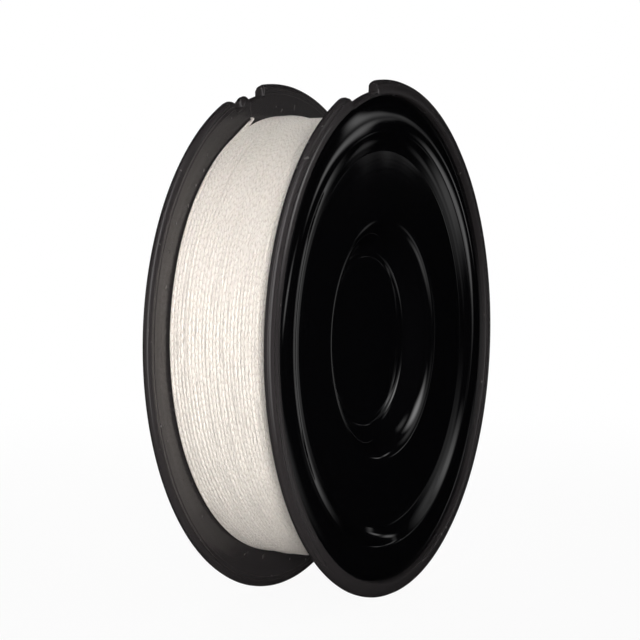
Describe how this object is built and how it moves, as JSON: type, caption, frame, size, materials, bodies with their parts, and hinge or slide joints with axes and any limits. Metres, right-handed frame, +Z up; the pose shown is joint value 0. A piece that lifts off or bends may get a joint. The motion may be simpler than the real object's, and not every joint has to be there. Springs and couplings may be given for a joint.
{
  "type": "string reel",
  "caption": "Reel of white braided string: rimmed black flanges on a hub barrel, glossy dished face caps, and the string's cut end caught in a slit in the back flange.",
  "frame": {"origin": "centre of the reel: on the axle line, midway between the two rim crowns", "axes": "+Y along the axle, from the front face to the back face; +Z up as the reel stands on its rims; the rim notch is 106 degrees from +X towards +Z"},
  "size_m": [0.1, 0.0268, 0.1],
  "materials": {
    "rim_plastic": "satin moulded black",
    "hub_plastic": "as moulded",
    "cap_film": "high gloss black",
    "label_film": "gloss black, bare",
    "string": "braided, warm white"
  },
  "bodies": {
    "root": {"front_flange": "rim_plastic", "back_flange": "rim_plastic", "hub_barrel": "hub_plastic", "front_face_cap": "cap_film", "back_face_cap": "cap_film", "front_label": "label_film", "string_core": "string", "string_outer_layer": "string", "string_tail": "string", "anchor_knot": "string"}
  },
  "joints": []
}
